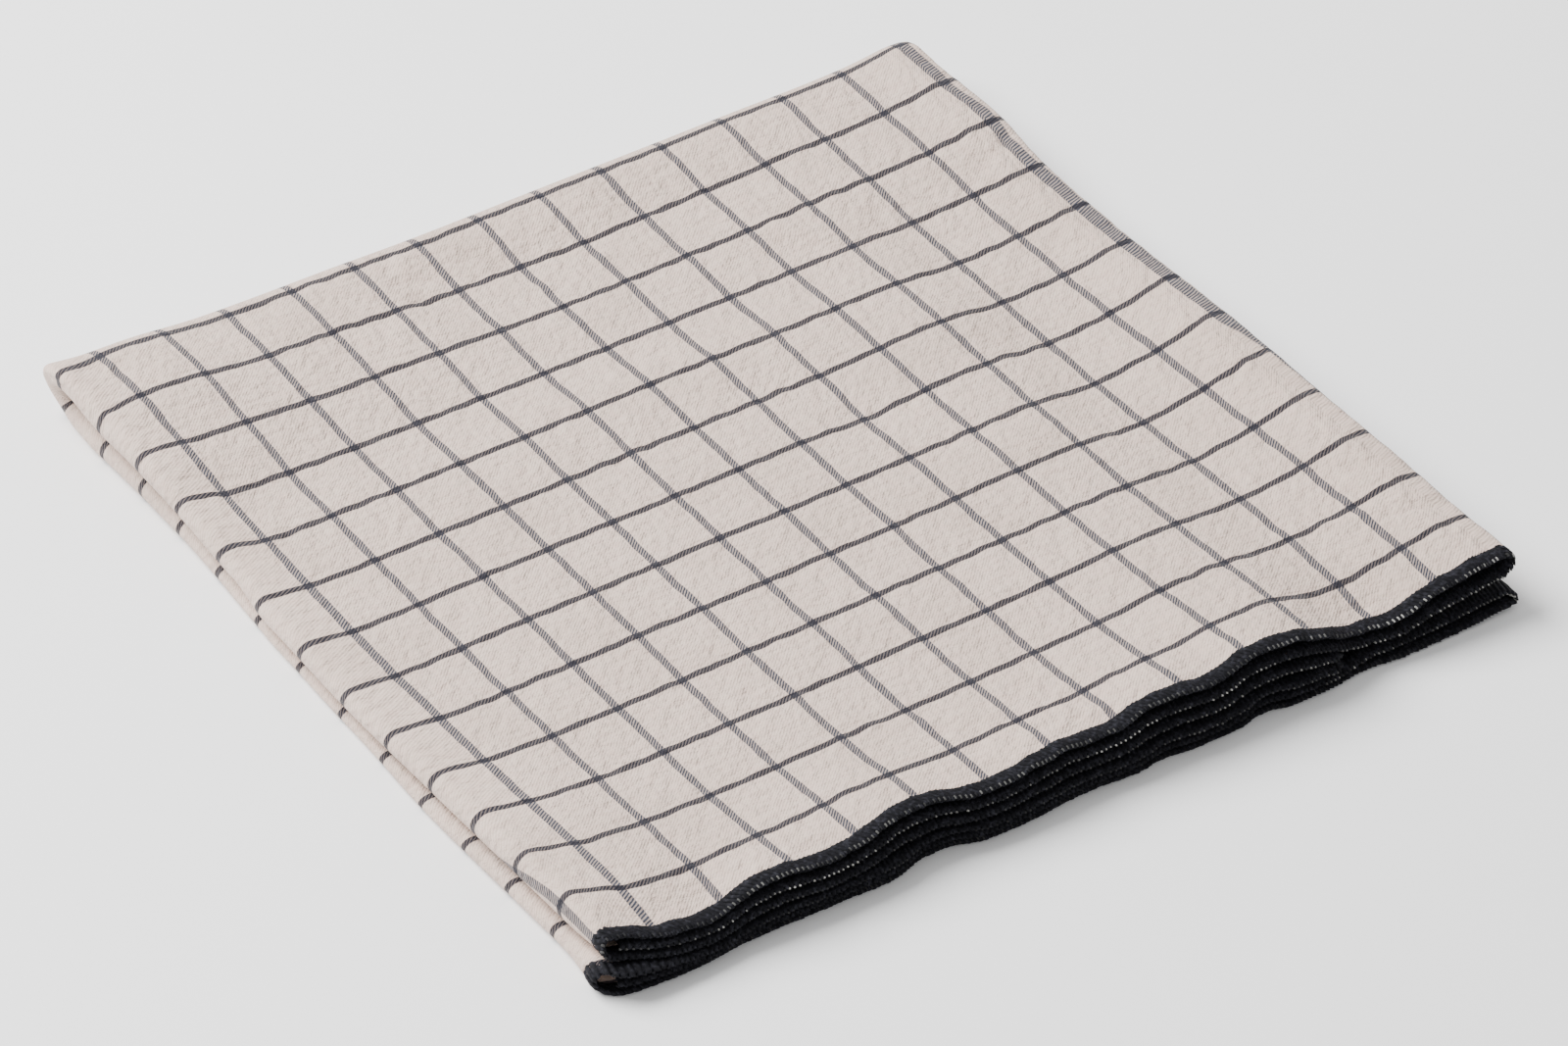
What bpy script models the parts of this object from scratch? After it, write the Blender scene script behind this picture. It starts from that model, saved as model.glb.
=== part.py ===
"""A cotton tea towel, folded in thirds and then in half, with black overlocked front edges.

The cloth is one strip section, three layers deep, that runs along a hairpin: over the top from the
front edge to the rear fold, round it, and back along the table. Every place on it is worked out from
two numbers on the section (x, depth in the bundle) and one along the hairpin.

Metres, +Z up. X runs along the front edge, Y to the rear fold, and the towel rests on Z = 0.
"""

import bmesh
import bpy
import numpy as np

MM = 0.001

# Driving sizes of the folded towel, in millimetres.
CLOTH_THICK = 1.0           # one crinkled layer of cotton twill
EDGE_THICK = 1.5            # cloth and overlock thread together
EDGE_DEEP = 3.4             # width of the black band, in from the front edge
SEAM_GAP = 0.4              # cloth to band, so that the two solids stay apart

FRONT_Y = -123.6            # front edge of the top layer, along the hairpin's upper run
LOWER_FRONT_Y = -124.7      # front edge of the bottom layer
INNER_PEEK = 2.0            # how much further forward the innermost layer's edge lies
REAR_Y = 124.9              # furthest point of the rear fold, half way along it
REAR_TURN = -0.008          # the rear fold comes this much nearer for each millimetre to the right
STACK = 9.5                 # bottom layer to top layer, middle to middle, where the towel lies flat
STACK_TILT = 0.005          # the stack rises this much for each millimetre to the right
LAYER_SHARE = 0.19          # layer spacing as a share of the stack's height
LAYER_SHARE_REAR = 0.155    # the bundles close up at the rear fold, and their loop opens
LAYER_SHARE_FRONT = 0.195   # the loose front edges stand a little further apart
REAR_ROUND = 1.1            # length of the rear fold's nose for each unit of its half height

LEFT_TIP = -126.0           # nominal side folds, from which the tables below move them
RIGHT_TIP = 119.0
LEFT_ROUND = 2.8            # how far in the left fold starts to turn
RIGHT_ROUND = 3.4
OUTER_FLAP_END = -117.0     # free side edge of the flap folded in from the right
INNER_FLAP_END = 68.0       # free side edge of the flap folded in from the left, well short
FLAP_DROP = (80.0, 110.0)   # beyond the short flap, the other one drops between these, in X
FLAP_DROP_DEPTH = 0.95      # and ends this deep in the bundle, 1 being the innermost layer

# Side folds of the upper and the lower bundle, in X, at these places from the rear to the front.
SIDE_ROWS_Y = (110.0, 85.0, 60.0, 10.0, -50.0, -118.0)
SIDE_FOLDS = {
    "left_upper": (-126.9, -125.9, -125.2, -125.0, -125.4, -126.3),
    "left_lower": (-124.2, -124.3, -124.4, -127.5, -128.8, -129.2),
    "right_upper": (116.4, 117.8, 116.7, 116.4, 116.3, 116.6),
    "right_lower": (117.0, 117.0, 116.7, 116.5, 116.4, 116.4),
}
SIDE_REACH = 14.0           # a side fold's own shift fades out this far in

# Swells and dips of the whole stack: where, how far across and along they reach, and their rise.
SWELLS = [
    # x, y, across, along, rise
    (-119.0, 101.0, 28.0, 38.0, 5.8),    # plump rear-left corner
    (-62.0, 102.0, 26.0, 28.0, 1.6),     # its shoulder
    (-5.0, 95.0, 28.0, 14.0, -0.7),      # hollow behind the middle
    (0.0, 62.0, 85.0, 10.0, -0.7),       # shallow trough right across, and the swell before it
    (10.0, 41.0, 60.0, 10.0, 0.6),
    (120.0, 104.0, 17.0, 34.0, 3.4),     # rear-right corner
    (82.0, 92.0, 26.0, 26.0, 1.3),
    (120.0, -52.0, 20.0, 68.0, 5.4),     # springy right-hand fold
    (78.0, 8.0, 9.0, 62.0, -1.3),        # long dip beside it
    (60.0, -82.0, 45.0, 30.0, 1.1),      # rise towards the front edges
    (-118.0, -104.0, 17.0, 46.0, 2.7),   # front-left corner
    (-106.0, -124.0, 10.0, 14.0, -3.0),
    (-85.0, -124.0, 9.0, 12.0, 1.6),     # waves of the front edges, from left to right
    (-50.0, -124.0, 13.0, 20.0, 2.1),
    (-11.0, -124.0, 9.0, 14.0, 1.4),
    (20.0, -124.0, 11.0, 16.0, 2.8),
    (50.0, -124.0, 15.0, 46.0, 3.5),
    (48.0, -124.0, 10.0, 14.0, 1.2),
    (79.0, -124.0, 11.0, 14.0, -3.3),
]
REAR_RIDGE = (12.0, 1.2)    # along, rise: the rear fold stands a little proud
FRONT_LIFT = (30.0, 2.4)    # along, rise: so do the edged layers at the front

# Where the front edges are drawn back: where, how far across, and by how much in each bundle.
RECESSES = [
    # x, across, upper, lower
    (-129.0, 12.0, 5.5, 0.0),
    (-127.5, 4.2, 0.0, 5.6),
    (-90.0, 10.0, 1.0, 1.2),
    (-46.0, 10.0, 2.6, 3.0),
    (-3.0, 9.0, 1.1, 1.1),
    (17.0, 7.0, 1.0, 0.3),
    (46.0, 8.0, 0.8, 0.0),
    (75.0, 6.0, 1.3, 1.1),
]
RECESS_REACH = 32.0         # the cloth behind evens that out over this length

# How finely the section and the hairpin are stepped.
PANEL_STEPS = 25            # the flaps bend at the panel's own steps, so that no two layers meet
SIDE_FOLD_STEPS = 6
UPPER_RUN_STEPS = 17
REAR_FOLD_STEPS = 6
LOWER_RUN_STEPS = 9
RUN_CROWDING = 1.7          # above 1, the steps crowd towards the front edge
EDGE_STEPS = 3


def bell(distance, reach):
    """1 at no distance, a half at the reach, and flat on top."""
    return 1.0 / (1.0 + (distance / reach) ** 4)


def smooth(value, start, end):
    """0 before start, 1 after end, with no kink between."""
    t = np.clip((value - start) / (end - start), 0.0, 1.0)
    return t * t * (3.0 - 2.0 * t)


def section():
    """The folded strip seen from the front: x, and depth in the bundle from 0 (outside) to 1."""
    left_start = LEFT_TIP + LEFT_ROUND
    right_start = RIGHT_TIP - RIGHT_ROUND
    panel_x = np.linspace(left_start, right_start, PANEL_STEPS + 1)
    inner_x = np.insert(panel_x[panel_x < INNER_FLAP_END][::-1], 0, INNER_FLAP_END)
    outer_x = np.append(panel_x[panel_x > OUTER_FLAP_END][::-1], OUTER_FLAP_END)
    turn = np.linspace(0.0, np.pi, SIDE_FOLD_STEPS + 1)[1:-1]
    turn_depth = (1.0 - np.cos(turn)) / 2.0
    outer_depth = 0.5 + (FLAP_DROP_DEPTH - 0.5) * smooth(outer_x, *FLAP_DROP)

    parts = [
        (inner_x, np.ones_like(inner_x)),
        (left_start - LEFT_ROUND * np.sin(turn), turn_depth[::-1]),
        (panel_x, np.zeros_like(panel_x)),
        (right_start + RIGHT_ROUND * np.sin(turn), FLAP_DROP_DEPTH * turn_depth),
        (outer_x, outer_depth),
    ]
    return np.concatenate([x for x, _ in parts]), np.concatenate([depth for _, depth in parts])


def stack_height(x, y):
    """Bottom layer to top layer, middle to middle."""
    height = STACK + STACK_TILT * x
    height = height + REAR_RIDGE[1] * bell(y - REAR_Y, REAR_RIDGE[0])
    height = height + FRONT_LIFT[1] * bell(y - FRONT_Y, FRONT_LIFT[0])
    for centre_x, centre_y, across, along, rise in SWELLS:
        height = height + rise * bell(x - centre_x, across) * bell(y - centre_y, along)
    return height


def layer_share(y):
    """Layer spacing as a share of the stack, from the rear fold to the front edge."""
    rear = smooth(y, REAR_Y - 34.0, REAR_Y - 8.0)
    front = smooth(-y, -FRONT_Y - 30.0, -FRONT_Y - 6.0)
    return (
        LAYER_SHARE
        + (LAYER_SHARE_REAR - LAYER_SHARE) * rear
        + (LAYER_SHARE_FRONT - LAYER_SHARE) * front
    )


def rest_height(y):
    """Middle of the bottom layer: it lies flat, and lifts by the band's extra thickness in front."""
    lift = (EDGE_THICK - CLOTH_THICK) / 2.0
    return CLOTH_THICK / 2.0 + lift * smooth(-y, -LOWER_FRONT_Y - 22.0, -LOWER_FRONT_Y - 7.0)


def side_shift(x, y, side):
    """Moves the side folds to their own places. side is 1 on the upper run and -1 on the lower."""
    def through(values):
        """Eased from row to row."""
        shift = np.full_like(y, values[0])
        for k in range(1, len(values)):
            shift = shift + (values[k] - values[k - 1]) * smooth(-y, -SIDE_ROWS_Y[k - 1], -SIDE_ROWS_Y[k])
        return shift

    upper, lower = (1.0 + side) / 2.0, (1.0 - side) / 2.0
    left = through(SIDE_FOLDS["left_upper"]) * upper + through(SIDE_FOLDS["left_lower"]) * lower
    right = through(SIDE_FOLDS["right_upper"]) * upper + through(SIDE_FOLDS["right_lower"]) * lower
    from_left = smooth(-x, -LEFT_TIP - SIDE_REACH, -LEFT_TIP - LEFT_ROUND)
    from_right = smooth(x, RIGHT_TIP - SIDE_REACH, RIGHT_TIP - RIGHT_ROUND)
    return (left - LEFT_TIP) * from_left + (right - RIGHT_TIP) * from_right


def recess(x, behind, upper):
    """How far the front edges are drawn back at x, for a point this far behind the edge."""
    back = np.zeros_like(x)
    for centre_x, across, upper_back, lower_back in RECESSES:
        back = back + (upper_back if upper else lower_back) * bell(x - centre_x, across)
    return back * np.exp(-((behind / RECESS_REACH) ** 2))


def nose(x, depth):
    """Where the rear fold starts to turn, the level of its middle, its half height and length."""
    stack = stack_height(x, np.full_like(x, REAR_Y))
    half = stack * (0.5 - 2.0 * layer_share(REAR_Y) * depth)
    start = REAR_Y + REAR_TURN * x - REAR_ROUND * stack / 2.0
    return start, CLOTH_THICK / 2.0 + stack / 2.0, half, REAR_ROUND * half


def on_run(x, depth, behind, upper):
    """A place on the upper or lower run, this far behind the front edge."""
    edge = FRONT_Y if upper else LOWER_FRONT_Y
    start, middle, half, _ = nose(x, depth)
    peek = INNER_PEEK * depth * bell(behind, 2.0 * RECESS_REACH)
    y = np.minimum(edge - peek + behind + recess(x, behind, upper), start)
    stack = stack_height(x, y)
    share = 2.0 * layer_share(y) * depth
    base = rest_height(y)
    z = base + stack * (1.0 - share) if upper else base + stack * share
    # The last stretch meets the nose at its own height.
    meet = smooth(y, start - 20.0, start)
    z = z + (middle + (half if upper else -half) - z) * meet
    side = 1.0 if upper else -1.0
    return x + side_shift(x, y, side), y, z


def on_nose(x, depth, turn):
    """A place on the rear fold: turn is 0 at its top and pi underneath."""
    start, middle, half, length = nose(x, depth)
    y = start + length * np.sin(turn)
    z = middle + half * np.cos(turn)
    return x + side_shift(x, y, np.cos(turn)), y, z


def run_steps(first, steps):
    """Distances behind the front edge, from first to the rear fold, closer together in front."""
    run_length = REAR_Y - FRONT_Y
    t = np.linspace(0.0, 1.0, steps + 1) ** RUN_CROWDING
    return first + (run_length - first) * t


def run_grid(x, depth, distances, upper):
    """Rows of points on a run. Distances stretch so that the last one meets the rear fold."""
    start, _, _, _ = nose(x, depth)
    edge = FRONT_Y if upper else LOWER_FRONT_Y
    nominal = REAR_Y - FRONT_Y
    rows = []
    for distance in distances:
        t = distance / nominal
        behind = distance + (start - edge - nominal) * t * t * t
        rows.append(np.stack(on_run(x, depth, behind, upper), axis=-1))
    return rows


def cloth_rows():
    """Every row of points across the cloth, from the upper front edge round to the lower one."""
    x, depth = section()
    first = EDGE_DEEP + SEAM_GAP
    rows = run_grid(x, depth, run_steps(first, UPPER_RUN_STEPS), True)
    for turn in np.linspace(0.0, np.pi, REAR_FOLD_STEPS + 1)[1:-1]:
        rows.append(np.stack(on_nose(x, depth, turn), axis=-1))
    rows.extend(reversed(run_grid(x, depth, run_steps(first, LOWER_RUN_STEPS), False)))
    return rows


def edging_rows(upper):
    """Rows of points across the black band, from the front edge back to the cloth."""
    x, depth = section()
    rows = run_grid(x, depth, np.linspace(0.0, EDGE_DEEP, EDGE_STEPS + 1), upper)
    return rows if upper else rows[::-1]


def sheet(name, rows, thickness, material, collection):
    """A grid laid on the rows, given its thickness."""
    points = np.array(rows) * MM
    count_v, count_u, _ = points.shape
    mesh = bpy.data.meshes.new(name)
    grid = bmesh.new()
    bmesh.ops.create_grid(grid, x_segments=count_u - 1, y_segments=count_v - 1, size=1.0)
    grid.verts.ensure_lookup_table()
    for vert, place in zip(grid.verts, points.reshape(-1, 3)):
        vert.co = place
    bmesh.ops.recalc_face_normals(grid, faces=grid.faces)
    grid.to_mesh(mesh)
    grid.free()
    mesh.materials.append(material)
    mesh.shade_smooth()
    piece = bpy.data.objects.new(name, mesh)
    collection.objects.link(piece)
    solid = piece.modifiers.new("thickness", "SOLIDIFY")
    solid.thickness = thickness * MM
    solid.offset = 0.0
    return piece


def finish(name, colour, roughness):
    material = bpy.data.materials.new(name)
    material.use_nodes = True
    shader = material.node_tree.nodes["Principled BSDF"]
    shader.inputs["Base Color"].default_value = (*colour, 1.0)
    shader.inputs["Roughness"].default_value = roughness
    shader.inputs["Metallic"].default_value = 0.0
    return material


def centre_on_table(pieces):
    """Puts the middle of the towel's outline over the origin and its lowest face on Z = 0."""
    bpy.context.view_layer.update()
    depsgraph = bpy.context.evaluated_depsgraph_get()
    corners = [c for piece in pieces for c in piece.evaluated_get(depsgraph).bound_box]
    low, high = np.min(corners, axis=0), np.max(corners, axis=0)
    for piece in pieces:
        for vert in piece.data.vertices:
            vert.co.x -= (low[0] + high[0]) / 2.0
            vert.co.y -= (low[1] + high[1]) / 2.0
            vert.co.z -= low[2]


def main():
    for old in list(bpy.data.objects):
        bpy.data.objects.remove(old)
    collection = bpy.data.collections.new("tea_towel")
    bpy.context.scene.collection.children.link(collection)
    cotton = finish("cream_cotton", (0.67, 0.61, 0.56), 0.9)
    thread = finish("black_thread", (0.012, 0.013, 0.017), 0.7)
    pieces = [
        sheet("towel_cloth", cloth_rows(), CLOTH_THICK, cotton, collection),
        sheet("edging_upper", edging_rows(True), EDGE_THICK, thread, collection),
        sheet("edging_lower", edging_rows(False), EDGE_THICK, thread, collection),
    ]
    centre_on_table(pieces)


main()
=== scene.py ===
import math
import bmesh
import bpy
import numpy as np
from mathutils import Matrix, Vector


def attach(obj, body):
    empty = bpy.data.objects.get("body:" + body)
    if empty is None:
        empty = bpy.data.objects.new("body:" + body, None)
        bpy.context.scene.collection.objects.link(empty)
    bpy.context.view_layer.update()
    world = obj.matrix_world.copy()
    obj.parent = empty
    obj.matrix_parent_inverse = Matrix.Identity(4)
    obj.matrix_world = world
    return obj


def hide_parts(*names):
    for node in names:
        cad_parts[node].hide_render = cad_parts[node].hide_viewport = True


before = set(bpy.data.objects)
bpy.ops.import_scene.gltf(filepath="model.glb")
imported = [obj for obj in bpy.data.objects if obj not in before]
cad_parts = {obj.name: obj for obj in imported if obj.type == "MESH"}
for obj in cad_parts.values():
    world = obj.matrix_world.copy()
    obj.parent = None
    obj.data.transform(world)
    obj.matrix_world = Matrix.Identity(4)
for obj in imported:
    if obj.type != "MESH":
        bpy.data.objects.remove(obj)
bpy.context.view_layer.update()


# where the photo was taken from
photoView = {
    "azimuth": -33.754,         # degrees
    "elevation": 38.713,
    "lens": 205.0,
    "sensor": 36.0,
    "distance": 2.0504,
    "target": (-0.00682, -0.01791, 0.01182),
    "clip": (0.1, 20.0),
}


def placeCamera():
    turn = math.radians(photoView["azimuth"])
    rise = math.radians(photoView["elevation"])
    back = Vector((math.sin(turn) * math.cos(rise), -math.cos(turn) * math.cos(rise), math.sin(rise)))
    camera = bpy.data.objects.new("photoCamera", bpy.data.cameras.new("photoCamera"))
    camera.data.lens = photoView["lens"]
    camera.data.sensor_width = photoView["sensor"]
    camera.data.clip_start, camera.data.clip_end = photoView["clip"]
    camera.location = Vector(photoView["target"]) + back * photoView["distance"]
    camera.rotation_euler = (-back).to_track_quat("-Z", "Y").to_euler()
    bpy.context.scene.collection.objects.link(camera)
    bpy.context.scene.camera = camera


placeCamera()
print("tea towel: camera placed")


# the fold: one strip three layers deep, doubled over at the rear. Millimetres, like the towel's CAD
millimetre = 0.001
towelFold = {
    "clothThick": 0.8,
    "edgeThick": 1.5,           # cloth with the overlock thread round it
    "edgeDeep": 3.4,            # width of the black band
    "frontY": -123.6,
    "lowerFrontY": -124.7,
    "upperPeek": (2.0, 0.6),    # the innermost layer's edge comes this much further out, left and right
    "lowerPeek": (1.6, -1.3),
    "peekTurn": (55.0, 90.0),   # x between which the left value gives way to the right one
    "peekReach": 64.0,
    "rearY": 124.9,
    "rearTurn": -0.008,
    "rearMeet": 20.0,           # each layer bends to the rear fold over this length
    "stack": 9.7,               # bottom layer to top layer where the towel is flattest
    "stackTilt": 0.005,
    "share": 0.19,              # layer spacing, as a share of the stack
    "shareRear": 0.155,
    "shareFront": 0.195,
    "shareRearReach": (34.0, 8.0),      # ahead of the rear fold: where it starts, and is full
    "shareFrontReach": (30.0, 6.0),     # behind the front edge, in the same way
    "rearRound": 1.1,
    "leftTip": -126.0,
    "rightTip": 119.0,
    "leftRound": 2.8,
    "rightRound": 4.3,
    "leftTurnLength": 7.6,      # cloth in the two turns of the strip
    "rightTurnLength": 9.0,
    "rightTurnEase": 0.68,      # below 1, the right turn's tip lies nearer the outside layer
    "turnSteps": 41,
    "innerFlapSteps": 200,
    "panelSteps": 250,
    "outerFlapEnd": -121.5,
    "innerFlapEnd": 68.0,
    "flapDrop": (62.0, 86.0),
    "flapDropDepth": 0.95,
    "sideRowsY": (124.0, 110.0, 85.0, 60.0, 40.0, 22.0, -15.0, -50.0, -104.0, -121.0),
    "leftUpper": (-127.3, -126.7, -125.9, -125.3, -125.6, -127.3, -127.9, -127.2, -127.2, -127.7),
    "leftLower": (-123.4, -124.9, -124.4, -124.4, -125.4, -126.7, -127.6, -128.8, -128.1, -130.4),
    "rightUpper": (116.2, 116.2, 117.5, 116.5, 116.3, 116.0, 115.8, 115.6, 116.2, 116.6),
    "rightLower": (117.0, 117.0, 117.0, 116.7, 116.6, 116.5, 116.5, 116.4, 117.2, 117.7),
    # how much further apart, or closer, the layers are towards the two side folds
    "leftUpperShare": (0.0, 0.0, 0.0, 0.0, 0.02, 0.05, 0.06, 0.09, 0.08, -0.02),
    "leftLowerShare": (0.0, 0.0, 0.0, 0.0, -0.02, -0.04, -0.05, -0.06, -0.05, 0.07),
    "rightUpperShare": (0.0, 0.0, 0.0, 0.0, 0.0, 0.0, 0.0, 0.0, -0.015, -0.025),
    "rightLowerShare": (0.0, 0.0, 0.0, 0.0, 0.0, 0.0, 0.0, 0.0, -0.03, -0.065),
    "leftShareReach": (98.0, 124.0),
    "rightShareReach": (70.0, 95.0),
    "sideReach": 14.0,
    "rearPoint": 1.7,           # the top layer's rear left corner is drawn out to a point
    "rearPointRows": (94.0, 122.0),
    "rearPointFrom": (117.0, 123.5),
    "rearPointDepth": 0.45,
    "rearRidge": (12.0, 1.2),   # along, rise
    "frontLift": (30.0, 2.4),
    "cornerLift": 1.0,          # the right front corner stands a little off the surface
    "cornerLiftFrom": (98.0, 118.0),
    "cornerLiftReach": (26.0, 4.0),     # behind the lower front edge, like the next
    "edgeLiftReach": (22.0, 7.0),
    "reliefDepth": 0.4,         # creases reach this far down into the bundle
    "recessReach": 32.0,
    "middle": (6.046, 0.159),   # moves the outline's middle over the origin
}
swells = [
    # x, y, across, along, rise of the whole stack
    (-119.0, 101.0, 28.0, 38.0, 5.8),
    (-62.0, 102.0, 26.0, 28.0, 1.6),
    (-5.0, 95.0, 28.0, 14.0, -0.7),
    (0.0, 62.0, 85.0, 10.0, -0.7),
    (10.0, 41.0, 60.0, 10.0, 0.6),
    (120.0, 104.0, 17.0, 34.0, 3.4),
    (82.0, 92.0, 26.0, 26.0, 1.3),
    (120.0, -52.0, 20.0, 68.0, 5.4),
    (78.0, 8.0, 9.0, 62.0, -1.3),
    (60.0, -82.0, 45.0, 30.0, 1.1),
    (-118.0, -104.0, 17.0, 46.0, 2.7),
    (-108.0, -124.0, 13.0, 14.0, -3.6),
    (-128.0, 125.0, 8.0, 9.0, 2.3),
    (40.0, 127.0, 55.0, 10.0, 0.7),
    (-85.0, -124.0, 9.0, 12.0, 1.6),
    (-50.0, -124.0, 13.0, 20.0, 2.1),
    (-11.0, -124.0, 9.0, 14.0, 1.4),
    (20.0, -124.0, 11.0, 16.0, 2.8),
    (50.0, -124.0, 15.0, 46.0, 3.5),
    (48.0, -124.0, 10.0, 14.0, 1.2),
    (79.0, -124.0, 11.0, 14.0, -3.3),
    (121.0, -116.0, 12.0, 26.0, -1.3),
]
recesses = [
    # x, across, upper, lower: where the front edges are drawn back
    (-129.0, 12.0, 5.0, 1.0),
    (-127.5, 4.2, 0.0, 4.8),
    (-90.0, 10.0, 1.0, 1.2),
    (-46.0, 10.0, 2.6, 0.0),
    (-42.3, 7.8, 0.0, 3.1),
    (-71.0, 10.0, 0.0, 0.8),
    (-3.0, 9.0, 1.1, 1.1),
    (17.0, 7.0, 1.0, 0.2),
    (19.0, 4.2, 0.0, 0.9),
    (46.0, 8.0, 0.8, 0.0),
    (46.5, 4.2, 0.0, 1.5),
    (75.0, 6.0, 1.3, 1.1),
]
creases = [
    # from x, y, to x, y, width, rise: soft ridges and troughs of the top layer
    (-76.7, 116.6, -68.9, 115.1, 1.8, -0.73),
    (-59.3, 118.8, -44.1, 105.9, 1.6, 0.84),
    (-57.7, 98.0, -45.2, 97.0, 1.7, -0.63),
    (-40.0, 109.0, -27.8, 106.1, 1.6, -0.95),
    (-40.0, 103.2, -27.6, 90.3, 1.6, -0.84),
    (-36.0, 117.0, -27.0, 112.0, 1.6, 0.84),
    (-21.2, 109.6, -15.5, 109.0, 1.5, -0.85),
    (-16.2, 111.5, -10.5, 100.7, 1.4, -0.85),
    (-21.1, 98.4, -7.4, 87.4, 1.6, 0.73),
    (23.5, 114.2, 24.6, 101.5, 1.6, -0.73),
    (6.5, 93.0, 24.6, 86.5, 2.2, 0.73),
    (44.0, 76.5, 57.3, 62.4, 1.8, -0.84),
    (46.8, 81.7, 59.3, 66.2, 1.8, 0.73),
    (78.6, 55.1, 95.4, 46.2, 1.9, -0.84),
    (78.6, 79.8, 89.7, 63.7, 1.7, -0.53),
    (98.2, 69.0, 118.6, 74.6, 1.8, -0.85),
    (-41.3, -86.7, -9.0, -103.4, 1.5, 0.73),
    (-5.3, -105.0, 8.6, -117.6, 1.5, 0.73),
    (69.1, -72.5, 80.4, -85.3, 1.6, -0.63),
    (99.0, -75.1, 112.2, -81.3, 1.6, -0.73),
    (85.8, -88.9, 101.3, -94.0, 1.6, 0.73),
    (100.0, -95.8, 118.7, -100.9, 1.8, -0.84),
]
sags = [
    # x, y, across, along, rise: broad unevenness of the top layer alone
    (46.0, -97.0, 13.0, 15.0, -0.9),
    (42.0, -30.0, 26.0, 12.0, 0.7),
    (60.0, 24.0, 14.0, 9.0, 0.8),
    (-100.0, 62.0, 14.0, 11.0, -1.1),
    (-84.0, 101.0, 32.0, 9.0, 0.9),
    (96.0, 25.0, 10.0, 36.0, -0.9),
    (52.0, -2.0, 12.0, 26.0, 0.6),
    (-2.0, -60.0, 34.0, 14.0, 0.5),
    (76.0, -107.0, 11.0, 12.0, -1.0),
    (-104.0, -8.0, 14.0, 34.0, -0.5),
    (26.0, 6.0, 7.0, 7.0, -0.8),
    (-105.0, 81.0, 9.0, 8.0, -1.0),
    (-89.0, 59.0, 8.0, 8.0, 0.6),
    (-119.0, 99.0, 8.0, 8.0, 0.8),
]


def bell(distance, reach):
    return 1.0 / (1.0 + (distance / reach) ** 4)


def smooth(value, start, end):
    t = np.clip((value - start) / (end - start), 0.0, 1.0)
    return t * t * (3.0 - 2.0 * t)


def foldedStrip():
    # distance along the folded strip against x and the depth in the bundle, 0 outside and 1 innermost
    s = towelFold
    leftStart = s["leftTip"] + s["leftRound"]
    rightStart = s["rightTip"] - s["rightRound"]
    turn = np.linspace(0.0, np.pi, s["turnSteps"])[1:-1]
    turnDepth = (1.0 - np.cos(turn)) / 2.0
    innerX = np.linspace(s["innerFlapEnd"], leftStart, s["innerFlapSteps"])
    panelX = np.linspace(leftStart, rightStart, s["panelSteps"])
    outerX = np.linspace(rightStart, s["outerFlapEnd"], s["panelSteps"])
    drop = s["flapDropDepth"]
    outerDepth = 0.5 + (drop - 0.5) * smooth(outerX, *s["flapDrop"])
    leftTurnX = leftStart - s["leftRound"] * np.sin(turn)
    rightTurnX = rightStart + s["rightRound"] * np.sin(np.pi * (turn / np.pi) ** s["rightTurnEase"])
    x = [innerX, leftTurnX, panelX, rightTurnX, outerX]
    depth = [np.ones_like(innerX), turnDepth[::-1], np.zeros_like(panelX), drop * turnDepth, outerDepth]
    leftLength, rightLength = s["leftTurnLength"], s["rightTurnLength"]
    flapLengths = (innerX[0] - leftStart, rightStart - outerX[-1])
    lengths = [flapLengths[0], leftLength, rightStart - leftStart, rightLength, flapLengths[1]]
    ends = np.concatenate([[0.0], np.cumsum(lengths)])
    along = [
        np.linspace(ends[0], ends[1], s["innerFlapSteps"]),
        ends[1] + leftLength * turn / np.pi,
        np.linspace(ends[2], ends[3], s["panelSteps"]),
        ends[3] + rightLength * turn / np.pi,
        np.linspace(ends[4], ends[5], s["panelSteps"]),
    ]
    return np.concatenate(along), np.concatenate(x), np.concatenate(depth), ends


stripAlong, stripX, stripDepth, stripEnds = foldedStrip()


washCrumple = {
    "seed": 11,
    "waves": 26,
    "lengths": (4.2, 9.0),
    "rise": 0.0052,             # of a wave, for each millimetre of its length
}


def crumple(x, y):
    # the even small unevenness of washed cotton: many shallow waves, each its own way
    chance = np.random.default_rng(washCrumple["seed"])
    height = np.zeros_like(x)
    for _ in range(washCrumple["waves"]):
        way = chance.uniform(0.0, np.pi)
        length = chance.uniform(*washCrumple["lengths"])
        start = chance.uniform(0.0, 2.0 * np.pi)
        height = height + length * np.sin((x * np.cos(way) + y * np.sin(way)) * 2.0 * np.pi / length + start)
    return height * washCrumple["rise"]


def topRelief(x, y):
    # the top layer's own small creases
    height = crumple(x, y)
    for startX, startY, endX, endY, width, rise in creases:
        runX, runY = endX - startX, endY - startY
        t = ((x - startX) * runX + (y - startY) * runY) / (runX * runX + runY * runY)
        inside = np.clip(t, 0.0, 1.0)
        away = np.hypot(x - startX - inside * runX, y - startY - inside * runY)
        fade = np.clip(1.0 - (2.0 * t - 1.0) ** 4, 0.0, 1.0)
        height = height + rise * np.exp(-((away / width) ** 2)) * fade
    for centreX, centreY, across, along, rise in sags:
        height = height + rise * bell(x - centreX, across) * bell(y - centreY, along)
    return height


def stackHeight(x, y):
    # bottom layer to top layer
    ridge, lift = towelFold["rearRidge"], towelFold["frontLift"]
    height = towelFold["stack"] + towelFold["stackTilt"] * x
    height = height + ridge[1] * bell(y - towelFold["rearY"], ridge[0])
    height = height + lift[1] * bell(y - towelFold["frontY"], lift[0])
    for centreX, centreY, across, along, rise in swells:
        height = height + rise * bell(x - centreX, across) * bell(y - centreY, along)
    return height


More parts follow.
